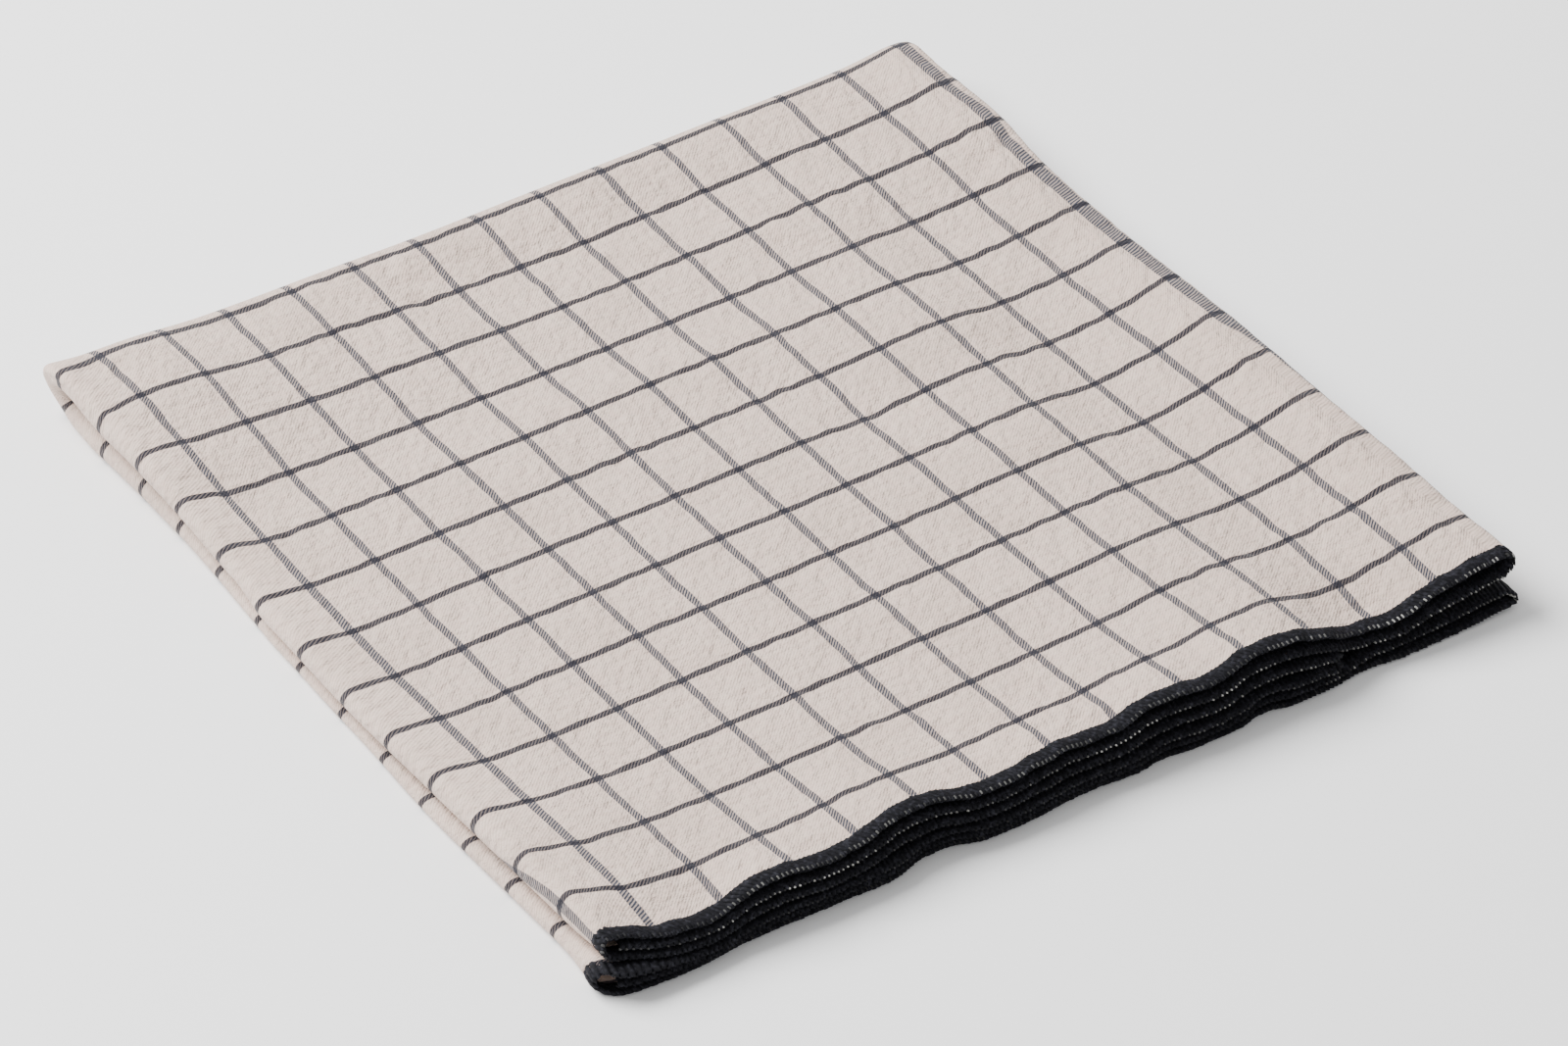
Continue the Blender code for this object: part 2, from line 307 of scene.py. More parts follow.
def sideRow(name, y):
    # a value given for a few rows between the rear and the front, eased from each to the next
    values, rows = towelFold[name], towelFold["sideRowsY"]
    value = np.full_like(y, values[0])
    for k in range(1, len(values)):
        value = value + (values[k] - values[k - 1]) * smooth(-y, -rows[k - 1], -rows[k])
    return value


def nearFront(y, frontY, reach):
    # 0 at the first distance behind the front edge, 1 at the second
    return smooth(-y, -frontY - reach[0], -frontY - reach[1])


def layerShare(x, y, upper):
    # spacing of the layers as a share of the stack
    s = towelFold
    rear = smooth(y, s["rearY"] - s["shareRearReach"][0], s["rearY"] - s["shareRearReach"][1])
    front = nearFront(y, s["frontY"], s["shareFrontReach"])
    share = s["share"]
    share = share + (s["shareRear"] - share) * rear + (s["shareFront"] - share) * front
    bundle = "Upper" if upper else "Lower"
    left = sideRow("left" + bundle + "Share", y) * smooth(-x, *s["leftShareReach"])
    right = sideRow("right" + bundle + "Share", y) * smooth(x, *s["rightShareReach"])
    return share + left + right


def restHeight(x, y):
    # the bottom layer lies flat, and lifts a little over the black band's thickness
    s = towelFold
    lift = (s["edgeThick"] - s["clothThick"]) / 2.0
    corner = smooth(x, *s["cornerLiftFrom"]) * nearFront(y, s["lowerFrontY"], s["cornerLiftReach"])
    edge = lift * nearFront(y, s["lowerFrontY"], s["edgeLiftReach"])
    return s["clothThick"] / 2.0 + edge + s["cornerLift"] * corner


def sideShift(x, y, depth, side):
    # each side fold has its own line from front to rear
    s = towelFold
    upper, lower = (1.0 + side) / 2.0, (1.0 - side) / 2.0
    point = s["rearPoint"] * upper * smooth(y, *s["rearPointRows"]) * smooth(-x, *s["rearPointFrom"])
    left = sideRow("leftUpper", y) * upper + sideRow("leftLower", y) * lower
    right = sideRow("rightUpper", y) * upper + sideRow("rightLower", y) * lower
    leftTip, rightTip, reach = s["leftTip"], s["rightTip"], s["sideReach"]
    fromLeft = smooth(-x, -leftTip - reach, -leftTip - s["leftRound"])
    fromRight = smooth(x, rightTip - reach, rightTip - s["rightRound"])
    shift = (left - leftTip) * fromLeft + (right - rightTip) * fromRight
    return shift - point * (1.0 - smooth(depth, 0.0, s["rearPointDepth"]))


def recess(x, behind, upper):
    # how far the front edges are drawn back, less and less behind them
    back = np.zeros_like(x)
    for centreX, across, upperBack, lowerBack in recesses:
        back = back + (upperBack if upper else lowerBack) * bell(x - centreX, across)
    return back * np.exp(-((behind / towelFold["recessReach"]) ** 2))


def rearNose(x, depth):
    # start of the rear fold, its middle's level, half height and length
    s = towelFold
    stack = stackHeight(x, np.full_like(x, s["rearY"]))
    half = stack * (0.5 - 2.0 * s["shareRear"] * depth)
    start = s["rearY"] + s["rearTurn"] * x - s["rearRound"] * stack / 2.0
    return start, s["clothThick"] / 2.0 + stack / 2.0, half, s["rearRound"] * half


def onRun(x, depth, behind, upper):
    # a place of the upper or lower bundle, this far behind its front edge
    s = towelFold
    edge = s["frontY"] if upper else s["lowerFrontY"]
    start, middle, half, _ = rearNose(x, depth)
    peekLeft, peekRight = s["upperPeek"] if upper else s["lowerPeek"]
    peek = peekLeft + (peekRight - peekLeft) * smooth(x, *s["peekTurn"])
    peek = peek * depth * bell(behind, s["peekReach"])
    y = np.minimum(edge - peek + behind + recess(x, behind, upper), start)
    stack = stackHeight(x, y)
    share = 2.0 * layerShare(x, y, upper) * depth
    base = restHeight(x, y)
    z = base + stack * (1.0 - share) if upper else base + stack * share
    meet = smooth(y, start - s["rearMeet"], start)
    z = z + (middle + (half if upper else -half) - z) * meet
    if upper:
        z = z + topRelief(x, y) * (1.0 - smooth(depth, 0.0, s["reliefDepth"]))
    return np.stack([x + sideShift(x, y, depth, 1.0 if upper else -1.0), y, z], axis=-1)


def onNose(x, depth, turn):
    # a place on the rear fold: turn is 0 at its top and pi underneath
    start, middle, half, length = rearNose(x, depth)
    y = start + length * np.sin(turn)
    z = middle + half * np.cos(turn)
    return np.stack([x + sideShift(x, y, depth, np.cos(turn)), y, z], axis=-1)


def settle(places):
    # millimetres to metres, with the outline's middle over the origin
    return (places + np.array([*towelFold["middle"], 0.0])) * millimetre


def feed(tree, socket, value):
    # a socket gets a link, anything else becomes its value
    if isinstance(value, bpy.types.NodeSocket):
        tree.links.new(value, socket)
    else:
        socket.default_value = value


def addNode(tree, kind, inputs, **settings):
    made = tree.nodes.new(kind)
    for name, value in settings.items():
        setattr(made, name, value)
    for name, value in inputs.items():
        feed(tree, made.inputs[name], value)
    return made


def sums(tree, operation, first, second=0.0):
    return addNode(tree, "ShaderNodeMath", {0: first, 1: second}, operation=operation).outputs[0]


def eased(tree, value, start, end, low=0.0, high=1.0):
    made = addNode(tree, "ShaderNodeMapRange", {0: value, 1: start, 2: end, 3: low, 4: high})
    made.interpolation_type = "SMOOTHSTEP"
    return made.outputs[0]


def blended(tree, share, first, second):
    made = tree.nodes.new("ShaderNodeMix")
    made.data_type = "RGBA"
    feed(tree, made.inputs[0], share)
    feed(tree, made.inputs[6], first)
    feed(tree, made.inputs[7], second)
    return made.outputs[2]


def speckle(tree, vector, scale, detail=2.0, output=0):
    inputs = {"Vector": vector, "Scale": scale, "Detail": detail}
    return addNode(tree, "ShaderNodeTexNoise", inputs).outputs[output]


def scaledUp(tree, vector, scale):
    return addNode(tree, "ShaderNodeMapping", {"Vector": vector, "Scale": (*scale, 1.0)}).outputs[0]


def giveRelief(tree, shader, height, strength):
    # height in millimetres
    inputs = {"Height": height, "Distance": millimetre, "Strength": strength}
    feed(tree, shader.inputs["Normal"], addNode(tree, "ShaderNodeBump", inputs).outputs[0])


def newMaterial(name, surface):
    material = bpy.data.materials.new(name)
    material.use_nodes = True
    shader = material.node_tree.nodes["Principled BSDF"]
    for socketName, value in surface.items():
        shader.inputs[socketName].default_value = value
    return material, material.node_tree, shader


def colourOf(red, green, blue):
    # screen colour, 0 to 255, to the shader's own
    def linear(value):
        value = value / 255.0
        return value / 12.92 if value <= 0.04045 else ((value + 0.055) / 1.055) ** 2.4
    return (linear(red), linear(green), linear(blue), 1.0)


checkedCotton = {
    "flat": (stripEnds[-1], 506.0),     # the cloth laid out, millimetres
    "ground": colourOf(208, 188, 175),
    "groundPink": colourOf(204, 181, 169),
    "groundShade": colourOf(179, 160, 147),
    "greyThread": colourOf(46, 50, 62),
    "darkThread": colourOf(22, 21, 33),
    "twill": 0.65,              # distance between two diagonal ribs
    "slope": 0.7071,            # sine of their forty-five degrees
    "greyEvery": 17.49,
    "greyFrom": 207.5,          # first grey line on the top panel, along the strip
    "greyWide": 1.95,
    "darkEvery": 18.81,
    "darkFrom": 16.4,           # nearest dark line, behind the front edge
    "darkWide": 1.85,
    "lineSoft": 0.12,           # half the width of a line's blurred rim
    "wander": 0.9,              # the lines stray a little, as woven and washed ones do
    "wanderScale": 0.06,
    "uneven": 2.4,              # how far the ribs are pushed about, in radians of their wave
    "unevenScale": 0.9,
    "patchScale": 0.35,
    "broadScale": 0.045,
    "crinkleScale": 0.42,
    # from, to, and the shares that these give
    "pinkPatches": (0.35, 0.7),
    "ribShadow": (0.2, -1.0, 0.0, 0.55),
    "broadShadow": (0.4, 0.75, 0.0, 0.35),
    "greyOnRibs": (-0.75, 0.35, 0.4, 1.0),
    "darkOnRibs": (-1.0, 0.3, 0.8, 1.0),
    "darkOnGrey": 0.75,         # a dark line is denser where it crosses a grey one
    # relief in millimetres: ribs, crinkle, and cells that swell between the lines
    "ribHigh": 0.035,
    "pillowHigh": 0.14,
    "pillowReach": 4.5,
    "crinkleHigh": 1.4,
    "surface": {
        "Roughness": 0.88,
        "Sheen Weight": 0.12,
        "Sheen Roughness": 0.5,
        "Specular IOR Level": 0.25,
    },
}


def makeCheckedCotton():
    s = checkedCotton
    material, tree, shader = newMaterial("checkedCotton", s["surface"])
    uv = tree.nodes.new("ShaderNodeTexCoord").outputs["UV"]
    flat = scaledUp(tree, uv, s["flat"])
    wander = speckle(tree, flat, s["wanderScale"], 1.0, "Color")
    off = addNode(tree, "ShaderNodeVectorMath", {0: wander, 1: (0.5, 0.5, 0.5)}, operation="SUBTRACT")
    off = addNode(tree, "ShaderNodeVectorMath", {0: off.outputs[0], 3: s["wander"]}, operation="SCALE")
    loose = addNode(tree, "ShaderNodeVectorMath", {0: flat, 1: off.outputs[0]}, operation="ADD")
    split = addNode(tree, "ShaderNodeSeparateXYZ", {0: loose.outputs[0]})
    across, along = split.outputs[0], split.outputs[1]

    def lines(place, name):
        # distance from the nearest line's middle, and the line itself
        fromFirst = sums(tree, "SUBTRACT", place, s[name + "From"])
        away = sums(tree, "PINGPONG", fromFirst, s[name + "Every"] / 2.0)
        half = s[name + "Wide"] / 2.0
        return away, eased(tree, away, half + s["lineSoft"], half - s["lineSoft"])

    greyAway, greyLine = lines(across, "grey")
    darkAway, darkLine = lines(along, "dark")
    uneven = sums(tree, "MULTIPLY", speckle(tree, flat, s["unevenScale"]), s["uneven"])
    turns = s["slope"] * 2.0 * math.pi / s["twill"]
    diagonal = sums(tree, "MULTIPLY", sums(tree, "SUBTRACT", across, along), turns)
    rib = sums(tree, "SINE", sums(tree, "ADD", diagonal, uneven))
    patchy = speckle(tree, flat, s["patchScale"], 3.0)
    broad = speckle(tree, flat, s["broadScale"])
    ground = blended(tree, eased(tree, patchy, *s["pinkPatches"]), s["ground"], s["groundPink"])
    ground = blended(tree, eased(tree, rib, *s["ribShadow"]), ground, s["groundShade"])
    ground = blended(tree, eased(tree, broad, *s["broadShadow"]), ground, s["groundShade"])
    greyShare = sums(tree, "MULTIPLY", greyLine, eased(tree, rib, *s["greyOnRibs"]))
    darkRib = sums(tree, "ADD", rib, sums(tree, "MULTIPLY", greyLine, s["darkOnGrey"]))
    darkShare = sums(tree, "MULTIPLY", darkLine, eased(tree, darkRib, *s["darkOnRibs"]))
    colour = blended(tree, greyShare, ground, s["greyThread"])
    colour = blended(tree, darkShare, colour, s["darkThread"])
    feed(tree, shader.inputs["Base Color"], colour)

    swelling = (eased(tree, away, 0.0, s["pillowReach"]) for away in (greyAway, darkAway))
    pillow = sums(tree, "MULTIPLY", *swelling)
    crinkle = speckle(tree, flat, s["crinkleScale"], 4.0)
    relief = sums(tree, "MULTIPLY", rib, s["ribHigh"])
    for part, high in ((pillow, s["pillowHigh"]), (crinkle, s["crinkleHigh"])):
        relief = sums(tree, "ADD", relief, sums(tree, "MULTIPLY", part, high))
    giveRelief(tree, shader, relief, 1.0)
    return material


overlockThread = {
    "black": colourOf(19, 19, 23),
    # lighter grey of the fuzz, and painted sheen on the crest of each ply
    "fuzzAndSheen": colourOf(50, 50, 57),
    # near-white, brighter than the thread itself: painted highlight on the stitch loops
    "light": colourOf(226, 225, 219),
    "ply": 0.36,                # distance between two plies of the twisted thread, millimetres
    "slant": 1.6,
    "fuzzScale": 900.0,
    "plyShows": 0.06,
    "fuzzAndSheenFrom": (0.45, 0.8),
    "lightFuzz": (0.2, 0.5, 0.6, 1.0),
    "plyHigh": 0.03,
    "fuzzHigh": 0.06,
    "relief": 0.9,
    "surface": {"Roughness": 0.7, "Specular IOR Level": 0.1},
}


def makeThread(name, light=False):
    s = overlockThread
    material, tree, shader = newMaterial(name, s["surface"])
    place = tree.nodes.new("ShaderNodeTexCoord")
    uv = scaledUp(tree, place.outputs["UV"], (1.0 / millimetre, 1.0 / millimetre))
    split = addNode(tree, "ShaderNodeSeparateXYZ", {0: uv})
    slanted = sums(tree, "ADD", split.outputs[0], sums(tree, "MULTIPLY", split.outputs[1], s["slant"]))
    ply = sums(tree, "SINE", sums(tree, "MULTIPLY", slanted, 2.0 * math.pi / s["ply"]))
    fuzz = speckle(tree, place.outputs["Object"], s["fuzzScale"], 3.0)
    # lighter grey where the fuzz is, and along each ply's crest as painted sheen
    fuzzAndSheen = sums(tree, "ADD", fuzz, sums(tree, "MULTIPLY", ply, s["plyShows"]))
    colour = blended(tree, eased(tree, fuzzAndSheen, *s["fuzzAndSheenFrom"]), s["black"], s["fuzzAndSheen"])
    if light:   # each stitch has its own measure of light thread and painted highlight, kept on the mesh
        shows = addNode(tree, "ShaderNodeAttribute", {}, attribute_name="shows").outputs["Fac"]
        share = sums(tree, "MULTIPLY", shows, eased(tree, fuzz, *s["lightFuzz"]))
        colour = blended(tree, share, colour, s["light"])
    feed(tree, shader.inputs["Base Color"], colour)
    plyRelief = sums(tree, "MULTIPLY", ply, s["plyHigh"])
    fuzzRelief = sums(tree, "MULTIPLY", fuzz, s["fuzzHigh"])
    giveRelief(tree, shader, sums(tree, "ADD", plyRelief, fuzzRelief), s["relief"])
    return material


cottonMaterial = makeCheckedCotton()
blackMaterial = makeThread("blackOverlockThread")
threadGlintMaterial = makeThread("lightNeedleThread", True)
print("tea towel: materials made")


def linked(name, mesh, material):
    # a smooth piece from a mesh, in the scene
    mesh.materials.clear()
    mesh.materials.append(material)
    mesh.shade_smooth()
    piece = bpy.data.objects.new(name, mesh)
    bpy.context.scene.collection.objects.link(piece)
    return piece


def thicken(piece, name, thick):
    wall = piece.modifiers.new(name, "SOLIDIFY")
    wall.thickness = thick * millimetre
    wall.offset = 0.0


checkedCloth = {
    "panelSteps": 152,
    "foldSteps": 12,
    "innerFlapSteps": 36,
    "outerFlapSteps": 36,
    "upperSteps": 146,
    "noseSteps": 12,
    "lowerSteps": 26,
    "crowding": 1.25,           # above 1, the rows crowd towards the front edge
    "under": 0.5,               # the cloth runs this far in under the black thread
    "leftSlack": -2.5,
    "cornerSlack": 8.4,
    "cornerSlackFrom": (46.0, 98.0),
    "slackEnd": 195.0,          # place along the strip by which the slack is taken up
    "pullFrom": 110.0,          # left of this the dark lines turn off
}
leftPull = [
    # y, upper, lower: the dark lines turn off towards the rear where they reach the left fold
    (-122.0, 6.4, 6.4), (-107.0, 6.0, 6.0), (-88.0, 5.2, 5.2), (-70.0, 4.0, 4.0), (-51.0, 2.9, 2.9),
    (-32.0, 1.9, 1.9), (-13.0, 1.2, 1.2), (6.0, 1.5, 1.5), (24.0, 2.1, 2.1), (43.0, 3.0, 3.0),
    (62.0, 3.2, 3.2), (81.0, 1.1, 1.1), (100.0, -1.5, -1.2), (118.0, -3.2, -0.6),
]
lineDrift = [
    # x, y, across, along, drift: where the grey lines lie off their even spacing
    (88.0, -90.0, 18.0, 62.0, 1.3),
    (116.0, 70.0, 9.0, 75.0, 2.2),
    (119.0, 86.0, 8.0, 22.0, -0.9),
    (119.0, -95.0, 12.0, 75.0, 4.7),
]


def patternAcross(along, y, upper):
    # place along the strip as the woven check sees it
    leftLine = checkedCotton["greyFrom"]
    x = along - stripEnds[2] + towelFold["leftTip"] + towelFold["leftRound"]
    drift = np.zeros_like(x)
    for centreX, centreY, across, reach, shift in lineDrift:
        drift = drift + shift * bell(x - centreX, across) * bell(y - centreY, reach)
    s = checkedCloth
    corner = s["cornerSlack"] * smooth(-y, *s["cornerSlackFrom"]) if upper else 0.0
    return along - (s["leftSlack"] + corner) * smooth(-along, -leftLine, -s["slackEnd"]) - drift


def patternPull(x, y, upper):
    # how far the woven check is drawn to the rear at the left fold
    rows, onUpper, onLower = zip(*leftPull)
    atFold = smooth(-x, checkedCloth["pullFrom"], -towelFold["leftTip"])
    return np.interp(y, rows, onUpper if upper else onLower) * atFold


def makeCloth():
    s = checkedCloth
    steps = [s["innerFlapSteps"], s["foldSteps"], s["panelSteps"], s["foldSteps"], s["outerFlapSteps"]]
    spans = zip(stripEnds, stripEnds[1:], steps)
    parts = [np.linspace(begin, end, count, endpoint=False) for begin, end, count in spans]
    along = np.concatenate([*parts, stripEnds[-1:]])
    x = np.interp(along, stripAlong, stripX)
    depth = np.interp(along, stripAlong, stripDepth)
    first = towelFold["edgeDeep"] - s["under"]
    start, _, _, _ = rearNose(x, depth)
    nominal = towelFold["rearY"] - towelFold["frontY"]
    rows, flats = [], []

    def runRows(count, upper):
        edge = towelFold["frontY"] if upper else towelFold["lowerFrontY"]
        made = []
        for share in np.linspace(0.0, 1.0, count + 1) ** s["crowding"]:
            distance = first + (nominal - first) * share
            behind = distance + (start - edge - nominal) * (distance / nominal) ** 3
            places = onRun(x, depth, behind, upper)
            made.append((places, places[:, 1] - edge - patternPull(x, places[:, 1], upper)))
        return made

    for places, behind in runRows(s["upperSteps"], True):
        rows.append(places)
        flats.append((patternAcross(along, places[:, 1], True), behind))
    reach = start - towelFold["frontY"]
    bend = checkedCotton["flat"][1] - (start - towelFold["lowerFrontY"]) - reach
    for turn in np.linspace(0.0, np.pi, s["noseSteps"] + 1)[1:-1]:
        places = onNose(x, depth, turn)
        rows.append(places)
        share = turn / np.pi
        onLower = patternPull(x, places[:, 1], False) * share
        onUpper = patternPull(x, places[:, 1], True) * (1.0 - share)
        flats.append((patternAcross(along, places[:, 1], False), reach + bend * share + (onLower - onUpper)))
    for places, behind in reversed(runRows(s["lowerSteps"], False)):
        rows.append(places)
        flats.append((patternAcross(along, places[:, 1], False), checkedCotton["flat"][1] - behind))
    places = settle(np.array(rows)).reshape(-1, 3)
    flat = np.array(flats).transpose(0, 2, 1).reshape(-1, 2) / np.array(checkedCotton["flat"])

    mesh = bpy.data.meshes.new("checkedCloth")
    cloth = bmesh.new()
    bmesh.ops.create_grid(cloth, x_segments=len(x) - 1, y_segments=len(rows) - 1, size=1.0)
    for vert, place in zip(cloth.verts, places):
        vert.co = place
    bmesh.ops.recalc_face_normals(cloth, faces=cloth.faces)
    layer = cloth.loops.layers.uv.new("flatCloth")
    for face in cloth.faces:
        for corner in face.loops:
            corner[layer].uv = flat[corner.vert.index]
    cloth.to_mesh(mesh)
    cloth.free()
    piece = linked("checkedCloth", mesh, cottonMaterial)
    thicken(piece, "clothThickness", towelFold["clothThick"])
    return piece


clothPiece = makeCloth()
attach(clothPiece, "root")
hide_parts("towel_cloth")
print("tea towel: cloth folded,", len(clothPiece.data.polygons), "faces")


# the black overlocked edges: a dark core, one thread for each stitch, and light thread at each stitch's
# front end, partly painted highlight on the loops
blackEdging = {
    "pitch": 1.25,              # one stitch along the edge, millimetres
    "coreThick": 1.0,
    "coreSteps": (460, 4),      # along the edge, and behind it
    "coreBehind": 0.1,          # the core starts this far behind the cut edge
    "threadWide": 0.52,         # half widths of one thread, flattened on the cloth
    "threadHigh": 0.27,
    "lift": 0.46,               # of a thread's middle off the cloth's middle
    # distance along the edge, behind it, and share of the lift: the way of one thread
    "path": [
        (0.0, 3.6, 0.1), (0.05, 3.25, 0.8), (0.75, 2.2, 1.0), (1.5, 1.0, 1.0), (1.95, 0.25, 0.8),
        (2.1, -0.1, 0.0), (1.95, 0.25, -0.8), (1.6, 1.6, -1.0), (1.3, 3.25, -0.8), (1.25, 3.6, -0.1),
    ],
    "innerShadeDeeper": 0.28,        # the band is this share deeper on the inner layers, black standing in for the shade inside the openings
    "innerFrom": (0.1, 0.5),    # depth in the bundle
    "openShadeDeeper": (0.5, 48.0, 66.0),    # and deeper still where the layers stand open, right of these x: more painted shade in the open lobes
    "probe": 0.25,              # the edge's direction is measured over twice this length
    "loose": 0.07,              # how far a stitch strays, and its shares along, behind and up
    "looseShares": (0.5, 1.0, 0.25),
    "looseSeeds": (7, 8),       # upper, lower
    "lightWide": 0.23,
    "lightPath": [(2.46, 0.3, 1.2), (2.56, 0.0, 1.12), (2.62, -0.22, 0.7), (2.64, -0.32, 0.35)],
    "lightAhead": 2.0,          # the place of the light thread and its painted highlight along the edge, in stitches
    # how much light thread and painted highlight shows on each of the six edges, left and right of x; kept
    # low on the lowest edges, where shade falls, as painted shade
    "shows": [
        # upper, depth, x, left, right
        (True, 0.0, 80.0, 0.2, 0.75),
        (True, 0.5, 52.0, 1.15, 0.1),
        (True, 1.0, 30.0, 0.12, 0.75),
        (False, 1.0, 20.0, 0.07, 0.22),
        (False, 0.5, 66.0, 0.04, 1.1),
        (False, 0.0, 0.0, 0.05, 0.03),
    ],
    "showsReach": (8.0, 0.5),   # across x, and in depth
    "showsSeeds": (3, 4),       # upper, lower
    "hidden": (0.3, 0.08),      # share of stitches that hardly show, and how much they do
    "shown": (0.3, 0.75),       # of the others: a start, and what their chance adds
    "runs": (8.0, 21.0, 2.5),   # the light thread and its painted highlight show in runs of uneven length
    "runLeast": 0.25,
    "leftLeast": 0.2,           # and hardly at all by the left fold
    "leftFrom": (-112.0, -90.0),
}


def flatToEdge(along, behind, lift, upper):
    # places on the flat band, wrapped on to the folded edge
    def surface(u, w):
        # x falls along both flaps, and a thread that passes an end of the strip goes straight on
        inside = np.clip(u, 0.0, stripEnds[-1])
        depth = np.interp(inside, stripAlong, stripDepth)
        x = np.interp(inside, stripAlong, stripX) + inside - u
        # the real band, reaching deeper on inner layers and in the open lobes as painted shade where the
        # cloth inside would show light
        inner = smooth(depth, *blackEdging["innerFrom"])
        more, fromX, toX = blackEdging["openShadeDeeper"]
        apart = more * smooth(x, fromX, toX) * (inner if upper else 1.0)
        return onRun(x, depth, w * (1.0 + blackEdging["innerShadeDeeper"] * inner + apart), upper)

    gap = blackEdging["probe"]
    alongWay = surface(along + gap, behind) - surface(along - gap, behind)
    inWay = surface(along, behind + gap) - surface(along, behind - gap)
    normal = np.cross(alongWay, inWay)
    normal = normal / np.linalg.norm(normal, axis=1)[:, None]
    return settle(surface(along, behind) + normal * lift[:, None])


def wrapped(name, mesh, upper, material, partSize=0):
    # a mesh made flat is laid round the folded edge, each part of that many points a little its own way
    count = len(mesh.vertices)
    flat = np.empty(count * 3)
    mesh.vertices.foreach_get("co", flat)
    flat = flat.reshape(-1, 3)
    if partSize:
        which = np.arange(count) // partSize
        seed = blackEdging["looseSeeds"][0 if upper else 1]
        chance = np.random.default_rng(seed).normal(size=(which[-1] + 1, 3))
        flat = flat + chance[which] * np.array(blackEdging["looseShares"]) * blackEdging["loose"]
    places = flatToEdge(flat[:, 0], flat[:, 1], flat[:, 2], upper)
    layer = mesh.uv_layers.active or mesh.uv_layers.new(name="flatEdge")
    corners = np.empty(len(mesh.loops), dtype=np.int32)
    mesh.loops.foreach_get("vertex_index", corners)
    layer.data.foreach_set("uv", (flat[corners, :2] * millimetre).ravel())
    mesh.vertices.foreach_set("co", places.ravel())
    mesh.update()
    return linked(name, mesh, material)


def stitchRow(path, halfWide, flatten, count):
    # a row of stitches laid flat, each a round thread along the path, pressed flat by that share
    thread = bpy.data.curves.new("stitch", "CURVE")
    thread.dimensions = "3D"
    thread.bevel_depth = halfWide
    thread.bevel_resolution = 1
    thread.use_fill_caps = True
    spline = thread.splines.new("POLY")
    spline.points.add(len(path) - 1)
    for point, (along, behind, lift) in zip(spline.points, path):
        point.co = (along, behind, lift * blackEdging["lift"] / flatten, 1.0)
    piece = bpy.data.objects.new("stitch", thread)
    bpy.context.scene.collection.objects.link(piece)
    # one stitch is repeated by an array, which is then applied
    row = piece.modifiers.new("stitchRow", "ARRAY")
    row.count = count
    row.use_relative_offset = False
    row.use_constant_offset = True
    row.constant_offset_displace = (blackEdging["pitch"], 0.0, 0.0)
    bpy.context.view_layer.update()
    evaluated = piece.evaluated_get(bpy.context.evaluated_depsgraph_get())
    mesh = bpy.data.meshes.new_from_object(evaluated)
    bpy.data.objects.remove(piece)
    bpy.data.curves.remove(thread)
    for vert in mesh.vertices:
        vert.co.z *= flatten
    return mesh, len(mesh.vertices) // count


def markShown(piece, upper, perStitch, count):
    # writes each stitch's measure of light thread and painted highlight on the mesh
    s = blackEdging
    along = (np.arange(count) + s["lightAhead"]) * s["pitch"]
    x = np.interp(along, stripAlong, stripX)
    depth = np.interp(along, stripAlong, stripDepth)
    reachX, reachDepth = s["showsReach"]
    measure = np.zeros(count)
    for onUpper, centre, turnX, left, right in s["shows"]:
        if onUpper == upper:
            here = left + (right - left) * smooth(x, turnX - reachX, turnX + reachX)
            measure = measure + here * np.clip(1.0 - np.abs(depth - centre) / reachDepth, 0.0, 1.0)
    chance = np.random.default_rng(s["showsSeeds"][0 if upper else 1]).random(count)
    hiddenShare, hiddenShows = s["hidden"]
    shownLeast, shownMore = s["shown"]
    measure = measure * np.where(chance < hiddenShare, hiddenShows, shownLeast + shownMore * chance)
    short, long, swing = s["runs"]
    runs = 0.5 + 0.5 * np.sin(along / short + swing * np.sin(along / long))
    runs = s["runLeast"] + (1.0 - s["runLeast"]) * runs
    fromLeft = s["leftLeast"] + (1.0 - s["leftLeast"]) * smooth(x, *s["leftFrom"])
    measure = measure * runs * fromLeft
    shows = piece.data.attributes.new("shows", "FLOAT", "POINT")
    shows.data.foreach_set("value", np.repeat(np.clip(measure, 0.0, 1.0), perStitch))


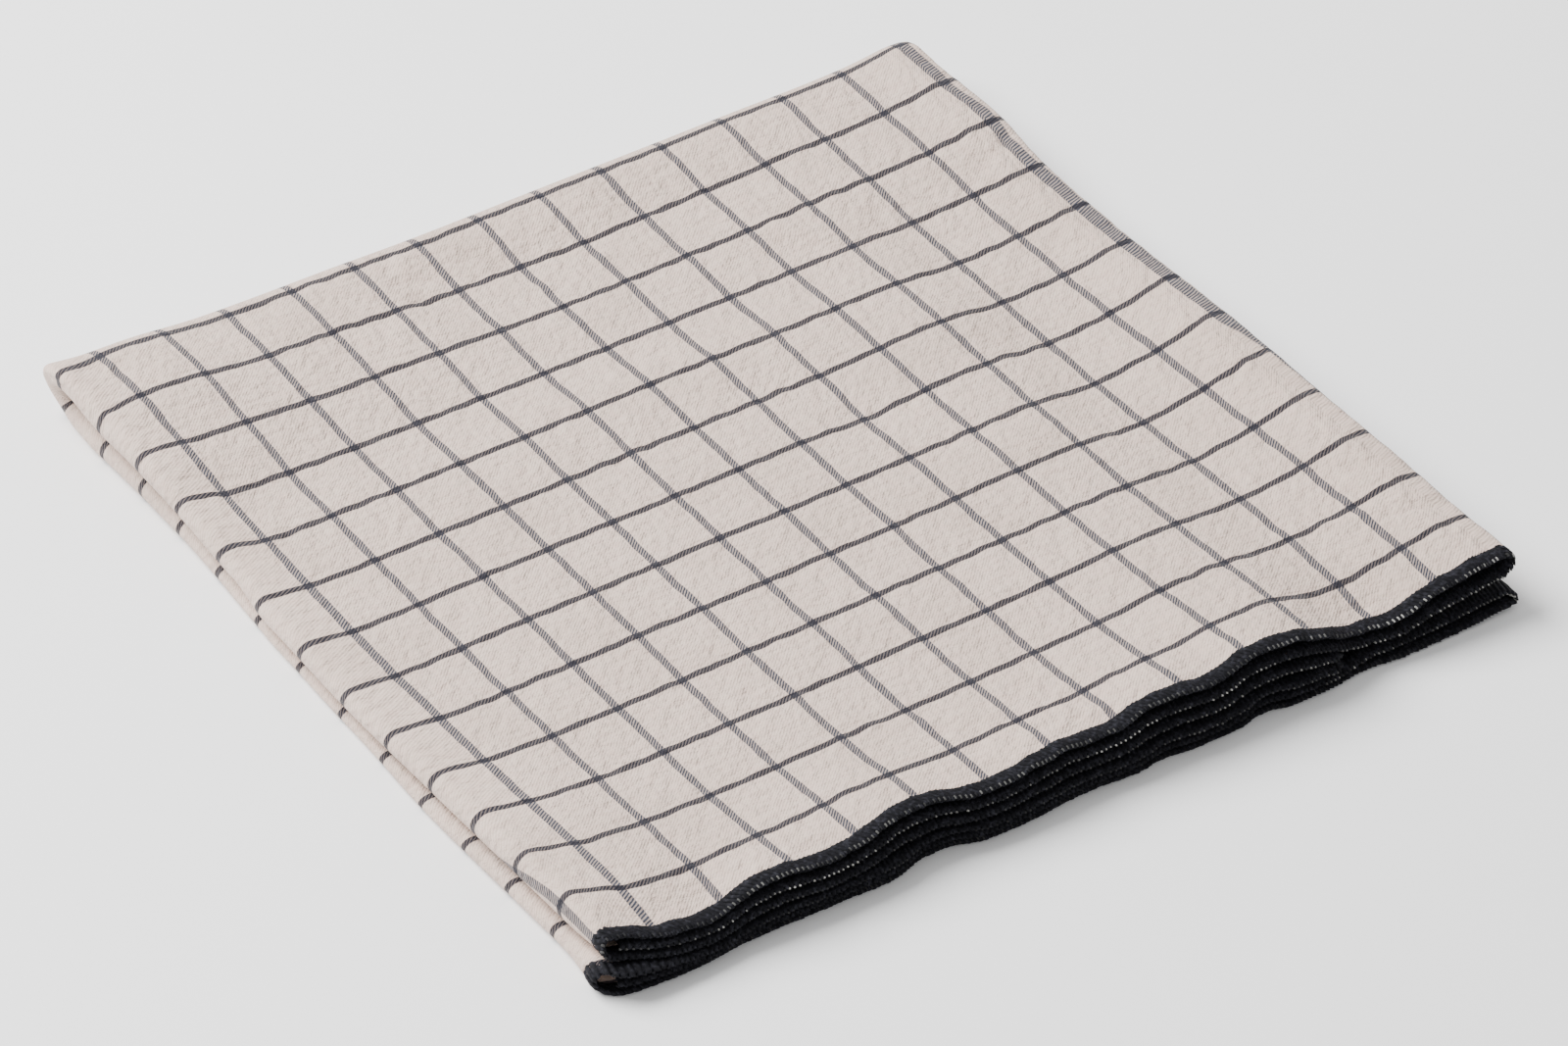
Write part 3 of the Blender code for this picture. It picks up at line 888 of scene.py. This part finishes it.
def makeEdging(side, upper):
    s = blackEdging
    length, deep = stripEnds[-1], towelFold["edgeDeep"]
    middle = (length / 2.0, deep / 2.0 + s["coreBehind"], 0.0)
    core = bmesh.new()
    bmesh.ops.create_grid(core, x_segments=s["coreSteps"][0], y_segments=s["coreSteps"][1], size=0.5)
    bmesh.ops.scale(core, vec=(length, deep, 1.0), verts=core.verts)
    bmesh.ops.translate(core, vec=middle, verts=core.verts)
    coreMesh = bpy.data.meshes.new(side + "EdgeCore")
    core.to_mesh(coreMesh)
    core.free()
    corePiece = wrapped(side + "EdgeCore", coreMesh, upper, blackMaterial)
    thicken(corePiece, "coreThickness", s["coreThick"])

    count = int(length / s["pitch"])
    flatten = s["threadHigh"] / s["threadWide"]
    threadMesh, perThread = stitchRow(s["path"], s["threadWide"], flatten, count)
    threads = wrapped(side + "EdgeThreads", threadMesh, upper, blackMaterial, perThread)
    lightMesh, perLight = stitchRow(s["lightPath"], s["lightWide"], 1.0, count)
    lights = wrapped(side + "NeedleThread", lightMesh, upper, threadGlintMaterial, perLight)
    markShown(lights, upper, perLight, count)
    return corePiece, threads, lights


for side, upper, node in (("upper", True, "edging_upper"), ("lower", False, "edging_lower")):
    made = makeEdging(side, upper)
    for piece, slotName in zip(made, ("black_thread", "black_thread", "cream_cotton")):
        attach(piece, "root")
        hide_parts(node)
    print("tea towel:", side, "edge stitched,", sum(len(p.data.polygons) for p in made), "faces")


studio = {
    "floor": colourOf(246, 246, 246),
    "floorShade": colourOf(243, 243, 243),
    "floorPatches": (0.3, 0.7),
    "floorScale": 3.0,
    "floorHalf": 4.0,           # metres
    "floorSurface": {"Roughness": 0.9},
    "world": 0.85,
    "key": 74.0,
    "keyPlace": (-0.7, 0.8, 1.25),
    "keySize": 1.25,
}


def makeStudio():
    mesh = bpy.data.meshes.new("paleFloor")
    ground = bmesh.new()
    bmesh.ops.create_grid(ground, x_segments=8, y_segments=8, size=studio["floorHalf"])
    ground.to_mesh(mesh)
    ground.free()
    material, tree, shader = newMaterial("paleFloor", studio["floorSurface"])
    place = tree.nodes.new("ShaderNodeTexCoord").outputs["Object"]
    share = eased(tree, speckle(tree, place, studio["floorScale"]), *studio["floorPatches"])
    feed(tree, shader.inputs["Base Color"], blended(tree, share, studio["floor"], studio["floorShade"]))
    linked("paleFloor", mesh, material)

    world = bpy.data.worlds.new("studioWorld")
    world.use_nodes = True
    background = world.node_tree.nodes["Background"]
    background.inputs["Color"].default_value = (1.0, 1.0, 1.0, 1.0)
    background.inputs["Strength"].default_value = studio["world"]
    bpy.context.scene.world = world

    lamp = bpy.data.lights.new("softKey", "AREA")
    lamp.shape = "DISK"
    lamp.size = studio["keySize"]
    lamp.energy = studio["key"]
    key = bpy.data.objects.new("softKey", lamp)
    key.location = studio["keyPlace"]
    key.rotation_euler = (-key.location).to_track_quat("-Z", "Y").to_euler()
    bpy.context.scene.collection.objects.link(key)


makeStudio()
print("tea towel: floor and light set")
